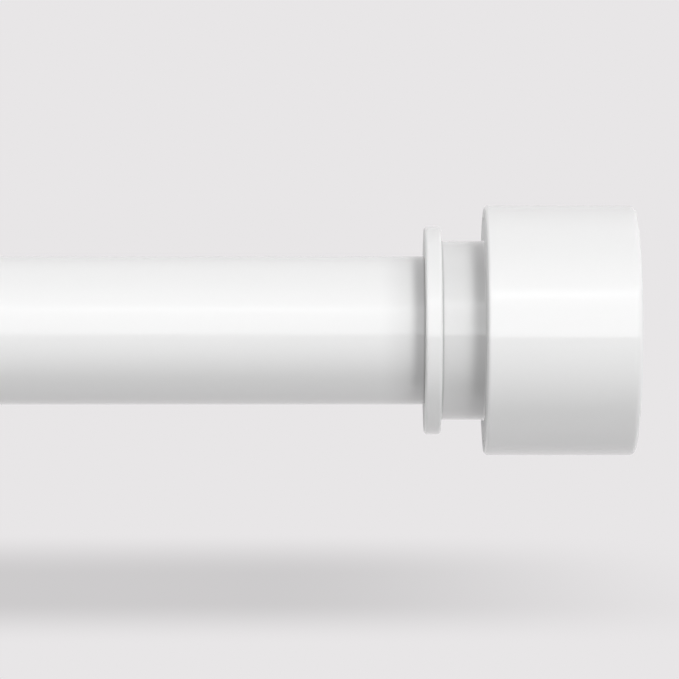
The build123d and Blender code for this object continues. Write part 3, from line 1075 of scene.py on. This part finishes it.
class CURTAINROD_OT_reducer_sleeve(bpy.types.Operator):
    """Models the split sleeve between the inner tube and the left socket"""
    bl_idname = "curtainrod.reducer_sleeve"
    bl_label = "Reducer Sleeve"

    def execute(self, context):
        sizes = context.scene.rod_small_parts
        finial = context.scene.rod_finial
        low, high = sleeve_box
        flange_face = high.x
        flange_back = flange_face - sizes.sleeve_flange + CLEAR
        outside = finial.socket_diameter / 2 - sizes.sleeve_wall_gap
        inside = inner_tube_box[1].z + sizes.sleeve_wall_gap
        flange = high.z
        lip_bore = sizes.sleeve_lip_bore / 2
        outline = [
            (flange_face, inside),
            (flange_face, flange),
            (flange_back, flange),
            (flange_back, outside),
            (low.x, outside),
            (low.x, lip_bore),
            (low.x + sizes.sleeve_lip, lip_bore),
            (low.x + sizes.sleeve_lip, inside),
        ]
        rounding = [(flange_face, flange, sizes.sleeve_edge, 4)]
        piece = turn("reducer_sleeve_shell", outline, rounding)
        slit = spoke(
            low.x - CUT_PAST, flange_face + CUT_PAST, lip_bore / 2, flange + CUT_PAST, sizes.sleeve_slit, pi
        )
        combine(piece, slit, "DIFFERENCE")
        grub_x = (left_grub_box[0].x + left_grub_box[1].x) / 2
        hole = peg(grub_x, inside - CUT_PAST, outside + CUT_PAST, sizes.sleeve_hole / 2)
        combine(piece, hole, "DIFFERENCE")
        material = material_named("natural white moulding")
        dress(piece, "left_finial", ["left_reducer_sleeve"], material)
        return {"FINISHED"}


# Rings of a shank to one turn of its thread, how much steeper than a plain vee the flanks are, so that the
# root is flat, and what lies nearer the axis than this share of the radius isn't on the shank
RINGS_PER_TURN = 8
FLANK_SLOPE = 1.4
SHANK_SHARE = 0.9


def cut_thread(piece, start, end, radius, sizes):
    """Works a screw thread into the turned shank that lies along X between two places."""
    for vertex in piece.data.vertices:
        x, y, z = vertex.co
        if start < x < end and hypot(y, z) > SHANK_SHARE * radius:
            turns = ((x - start) / sizes.thread_pitch + atan2(z, y) / (2 * pi)) % 1
            groove = sizes.thread_depth * min(1.0, FLANK_SLOPE * abs(2 * turns - 1))
            keep = (radius - groove) / radius
            vertex.co = Vector((x, y * keep, z * keep))


def shank_rings(start, end, radius, sizes):
    """Rings along a shank, close enough to show its thread."""
    rings = round((end - start) / (sizes.thread_pitch / RINGS_PER_TURN))
    return [(start + (end - start) * i / rings, radius) for i in range(rings + 1)]


def grub_screw(name, box, sizes):
    """A hex-socket grub screw with a real thread, turned lying down and then stood up along +Y."""
    low, high = box
    length = high.y - low.y
    radius = sizes.grub_diameter / 2
    chamfer = sizes.grub_chamfer
    shank = shank_rings(chamfer, length - chamfer, radius, sizes)
    cup = [(chamfer, 0), (0, radius - 2 * chamfer), (0, radius - chamfer)]
    outline = [*cup, *shank, (length, radius - chamfer), (length, 0)]
    piece = turn(name, outline, segments=FINE_ROUND)
    # The rings at the chamfers stay round
    inset = 1.01 * chamfer
    cut_thread(piece, inset, length - inset, radius, sizes)
    middle = (low.x + high.x) / 2
    piece.rotation_euler = (0, 0, pi / 2)
    piece.location = (middle, low.y, 0)
    settle(piece)
    corner_radius = sizes.hex_width / 2 / cos(pi / 6)
    socket = peg(middle, high.y - sizes.hex_depth, high.y + CUT_PAST, corner_radius, sides=6)
    combine(piece, socket, "DIFFERENCE")
    return piece


class CURTAINROD_OT_grub_screws(bpy.types.Operator):
    """Models the threaded grub screw in the back of each neck, of which the left one is longer"""
    bl_idname = "curtainrod.grub_screws"
    bl_label = "Grub Screws"

    def execute(self, context):
        sizes = context.scene.rod_small_parts
        steel = material_named("zinc plated steel")
        for side, box in (("right", right_grub_box), ("left", left_grub_box)):
            piece = grub_screw(side + "_grub_screw_shell", box, sizes)
            dress(piece, side + "_grub", [side + "_grub_screw"], steel)
        return {"FINISHED"}


class CURTAINROD_OT_cap_screws(bpy.types.Operator):
    """Models the pan-head screw that holds the right drum on its base and copies it to the left"""
    bl_idname = "curtainrod.cap_screws"
    bl_label = "Drum Screws"

    def execute(self, context):
        sizes = context.scene.rod_small_parts
        low, high = cap_screw_box
        head = high.z
        shank = sizes.grub_diameter / 2
        head_end = low.x + sizes.screw_head_height
        crown = (low.x + sizes.crown_rise * sizes.screw_head_height, sizes.crown_radius * head)
        rim = (low.x + sizes.head_rim * sizes.screw_head_height, head)
        thread_start = head_end + sizes.screw_neck
        thread_end = high.x - shank / 2
        outline = [
            *arc((low.x, 0), crown, rim, 10),
            (head_end - CLEAR / 2, head),
            (head_end - CLEAR / 2, shank),
            *shank_rings(thread_start, thread_end, shank, sizes),
            (high.x, shank / 2),
            (high.x, 0),
        ]
        right = turn("right_cap_screw_shell", outline, segments=FINE_ROUND)
        # The rings at both ends of the thread stay round
        inset = 0.1 * MM
        cut_thread(right, thread_start + inset, thread_end - inset, shank, sizes)
        half = sizes.recess_span / 2
        for angle in (0, pi / 2):
            bar = spoke(low.x - CUT_PAST, low.x + sizes.recess_depth, -half, half, sizes.recess_width, angle)
            combine(right, bar, "DIFFERENCE")
        left = copy_to_left(right, "left_cap_screw_shell")
        steel = material_named("zinc plated steel")
        dress(right, "right_finial", ["right_cap_screw"], steel)
        dress(left, "left_finial", ["left_cap_screw"], steel)
        return {"FINISHED"}


class CURTAINROD_OT_guide_bush(bpy.types.Operator):
    """Models the bush with spring fingers on the inner tube's hidden end"""
    bl_idname = "curtainrod.guide_bush"
    bl_label = "Guide Bush"

    def execute(self, context):
        tubes = context.scene.rod_tubes
        sizes = context.scene.rod_small_parts
        low, high = bush_box
        tube_end = inner_tube_box[1].x
        seat = tube_end + CLEAR
        spigot = inner_tube_box[1].z - tubes.wall - sizes.bush_play
        hole = spigot - sizes.bush_wall
        flange = sizes.bush_flange_diameter / 2
        flange_end = seat + sizes.bush_flange
        root = sizes.finger_root / 2
        inside = root - sizes.finger_wall
        pad = outer_tube_box[1].z - tubes.wall - sizes.bush_play
        pad_start = high.x - sizes.finger_pad
        bead = tube_end - tubes.bead_from_end
        half = tubes.bead_half_width
        groove = arc((bead - half, spigot), (bead, spigot - tubes.bead_depth), (bead + half, spigot), 10)
        outline = [
            (low.x, hole),
            (low.x, spigot - sizes.bush_wall / 2),
            (low.x + sizes.bush_wall / 2, spigot),
            *groove,
            (seat, spigot),
            (seat, flange),
            (flange_end, flange),
            (flange_end, root),
            *arc((pad_start, root), ((pad_start + high.x) / 2, pad), (high.x, root), 12),
            (high.x, inside),
            (flange_end, inside),
            (flange_end, hole),
        ]
        rounding = [(seat, flange, sizes.bush_edge, 3), (flange_end, flange, sizes.bush_edge, 3)]
        piece = turn("guide_bush_shell", outline, rounding)
        start = flange_end + sizes.finger_slot_start
        slot = spoke(start, high.x + CUT_PAST, inside - sizes.finger_wall, pad + CUT_PAST, sizes.finger_slot)
        combine(piece, spread(slot, sizes.fingers), "DIFFERENCE")
        dress(piece, "slider", ["guide_bush"], material_named("natural white moulding"))
        return {"FINISHED"}


class CURTAINROD_OT_stage(bpy.types.Operator):
    """Sets up the floor, the light of the studio and the camera"""
    bl_idname = "curtainrod.stage"
    bl_label = "Stage"

    def execute(self, context):
        settings = context.scene.rod_stage
        make_camera(settings)
        make_floor(settings)
        light_world(settings)
        context.scene.view_settings.view_transform = "Standard"
        return {"FINISHED"}


def make_camera(settings):
    """A long lens square on to the rod from the room side, framed on the right finial."""
    pixels_per_metre = settings.tube_height / (2 * outer_tube_box[1].z)
    middle = settings.picture_side / 2
    data = bpy.data.cameras.new("camera")
    data.sensor_width = 36
    data.lens = data.sensor_width * settings.focal_length / settings.picture_side
    data.clip_start = 0.01
    data.clip_end = 100
    camera = bpy.data.objects.new("camera", data)
    bpy.context.scene.collection.objects.link(camera)
    camera.location = (
        collar_x + (middle - settings.collar_column) / pixels_per_metre,
        -settings.focal_length / pixels_per_metre,
        (settings.axis_row - middle) / pixels_per_metre,
    )
    camera.rotation_euler = (pi / 2, 0, 0)
    bpy.context.scene.camera = camera


def make_floor(settings):
    """A pale floor that only the camera sees, with a wide soft shade painted under the rod as a function of
    place, not cast by it.
    """
    deselect_everything()
    bpy.ops.mesh.primitive_plane_add(size=2 * settings.floor_half, location=(0, 0, -settings.floor_drop))
    floor = bpy.context.object
    floor.name = "floor"
    settle(floor)
    floor.visible_diffuse = False
    floor.visible_glossy = False
    floor.visible_transmission = False
    floor.visible_shadow = False
    material, recipe = new_recipe("pale floor")
    along, across, up = recipe.split(recipe.place())
    towards_room = recipe.soft_step(across, settings.shade_near_end, settings.shade_near_full)
    towards_wall = recipe.soft_step(across, settings.shade_far_end, settings.shade_far_full)
    to_the_right = recipe.soft_step(along, settings.shade_right_end, settings.shade_right_full)
    to_the_left = recipe.soft_step(along, settings.shade_left_end, settings.shade_left_full)
    shade = towards_room * towards_wall * to_the_right * to_the_left
    colour = recipe.mix_colours(settings.shade_depth * shade, shaded(settings.backdrop), (0, 0, 0, 1))
    glow = recipe.add("ShaderNodeEmission", None, {"Color": colour, "Strength": 1.0})
    from_below = recipe.add("ShaderNodeNewGeometry", output="Backfacing")
    clear = recipe.add("ShaderNodeBsdfTransparent")
    recipe.finish(recipe.mix_shaders(from_below, glow, clear))
    floor.data.materials.append(material)


# Brightness of the studio by height, from straight down at -90 degrees to straight up at 90. In front of
# the rod a wide soft light stands on a dark floor and has a brighter strip across it. Behind the rod the
# light is dimmer and even
FRONT_LIGHT = (
    (-90, 0.19), (-60, 0.31), (-40, 0.51), (-20, 0.61), (-9, 0.42), (-7, 0.32), (-5.5, 1.85),
    (0, 1.72), (10, 1.42), (22, 1.28), (27, 1.40), (30, 1.90), (33, 2.00), (36, 1.50),
    (39, 0.98), (48, 0.82), (60, 0.72), (75, 0.58), (90, 0.50),
)
BACK_LIGHT = (
    (-90, 0.17), (-60, 0.30), (-40, 0.50), (-10, 0.65), (0, 0.70),
    (20, 0.57), (32, 0.48), (45, 0.48), (70, 0.44), (90, 0.50),
)

# How strong the soft light is from the left at -1 to the right at 1. The key light is right of the middle
KEY_LIGHT = (
    (-1, 0.60), (-0.5, 0.55), (0, 0.40), (0.20, 0.45), (0.28, 4.2), (0.43, 4.2), (0.52, 0.55), (1, 0.55),
)

# A ramp's colours stop at one, so the levels are divided by these on their way into it
LIGHT_SCALE = 2.0
KEY_SCALE = 6.0

# The front and the back of the studio blend over this much of a direction's Y
FRONT_BLEND = 0.25

# The key light fades out below the rod, between these parts of a direction's Z
KEY_FADE = (-1.0, -0.3)

# How much stronger the light is straight behind the rod, and where that rises, in a direction's Y
BACK_FILL = 0.8
BACK_FILL_RISE = (0.5, 0.95)

# How much darker the studio is that the gloss mirrors from the right, and where that rises, in its X
SIDE_DARK = 0.5
SIDE_DARK_RISE = (0.12, 0.60)


def light_by_height(recipe, height, levels):
    """Brightness from a direction's height, which runs from nought straight down to one straight up."""
    stops = [((degrees + 90) / 180, level / LIGHT_SCALE) for degrees, level in levels]
    return recipe.add("ShaderNodeValToRGB", {"stops": stops}, {"Fac": height}) * LIGHT_SCALE


def light_from_side(recipe, towards_right):
    """How strong the soft light is from a direction's place between left and right."""
    stops = [((right + 1) / 2, level / KEY_SCALE) for right, level in KEY_LIGHT]
    return recipe.add("ShaderNodeValToRGB", {"stops": stops}, {"Fac": towards_right / 2 + 0.5}) * KEY_SCALE


def light_world(settings):
    """A soft studio round the rod, and a plain background.

    The camera sees the background all round. Glossy and transmitted rays see it behind the rod, and
    the studio in front of it.
    """
    world = bpy.data.worlds.new("studio")
    bpy.context.scene.world = world
    recipe = Recipe(world)
    towards_right, towards_wall, upwards = recipe.split(recipe.add("ShaderNodeTexCoord", output="Generated"))
    height = maths("ARCSINE", upwards) / pi + 0.5
    front = recipe.soft_step(towards_wall, FRONT_BLEND, -FRONT_BLEND)
    front_light = light_by_height(recipe, height, FRONT_LIGHT)
    back_fill = 1 + BACK_FILL * recipe.soft_step(towards_wall, *BACK_FILL_RISE)
    back_light = light_by_height(recipe, height, BACK_LIGHT) * back_fill
    open_level = front * front_light + (1 - front) * back_light

    from_side = light_from_side(recipe, towards_right)
    cast = 1 + (from_side - 1) * recipe.soft_step(upwards, *KEY_FADE)
    mirror = 1 - SIDE_DARK * recipe.soft_step(towards_right, *SIDE_DARK_RISE)
    mirrored, through, direct = recipe.add(
        "ShaderNodeLightPath", output=("Is Glossy Ray", "Is Transmission Ray", "Is Camera Ray")
    )
    level = open_level * (mirrored * mirror + (1 - mirrored) * cast)
    studio = recipe.add("ShaderNodeBackground", None, {"Color": level, "Strength": 1.0})
    plain = recipe.add("ShaderNodeBackground", None, {"Color": shaded(settings.backdrop), "Strength": 1.0})
    sees_plain = maths("MAXIMUM", direct, (mirrored + through) * (1 - front))
    recipe.finish(recipe.mix_shaders(sees_plain, studio, plain), "ShaderNodeOutputWorld")


PIECE_OPERATORS = (
    CURTAINROD_OT_outer_tube,
    CURTAINROD_OT_inner_tube,
    CURTAINROD_OT_mouth_liner,
    CURTAINROD_OT_finial_bases,
    CURTAINROD_OT_finial_caps,
    CURTAINROD_OT_reducer_sleeve,
    CURTAINROD_OT_grub_screws,
    CURTAINROD_OT_cap_screws,
    CURTAINROD_OT_guide_bush,
    CURTAINROD_OT_stage,
)


class CURTAINROD_PT_panel(bpy.types.Panel):
    """Lists the pieces of the rod"""
    bl_idname = "CURTAINROD_PT_panel"
    bl_label = "Curtain Rod"
    bl_space_type = "VIEW_3D"
    bl_region_type = "UI"
    bl_category = "Curtain Rod"

    def draw(self, context):
        for operator in PIECE_OPERATORS:
            self.layout.operator(operator.bl_idname)


SETTING_GROUPS = {
    "rod_tubes": TubeSizes,
    "rod_finial": FinialSizes,
    "rod_small_parts": SmallPartSizes,
    "rod_finish": RodFinish,
    "rod_stage": StageSettings,
}


def register():
    for name, group in SETTING_GROUPS.items():
        bpy.utils.register_class(group)
        setattr(bpy.types.Scene, name, PointerProperty(type=group))
    for cls in (*PIECE_OPERATORS, CURTAINROD_PT_panel):
        bpy.utils.register_class(cls)


def unregister():
    for cls in reversed((*PIECE_OPERATORS, CURTAINROD_PT_panel)):
        bpy.utils.unregister_class(cls)
    for name, group in SETTING_GROUPS.items():
        delattr(bpy.types.Scene, name)
        bpy.utils.unregister_class(group)


def main():
    register()
    bpy.ops.curtainrod.outer_tube()
    bpy.ops.curtainrod.inner_tube()
    bpy.ops.curtainrod.mouth_liner()
    bpy.ops.curtainrod.finial_bases()
    bpy.ops.curtainrod.finial_caps()
    bpy.ops.curtainrod.reducer_sleeve()
    bpy.ops.curtainrod.grub_screws()
    bpy.ops.curtainrod.cap_screws()
    bpy.ops.curtainrod.guide_bush()
    bpy.ops.curtainrod.stage()


if __name__ == "__main__":
    main()
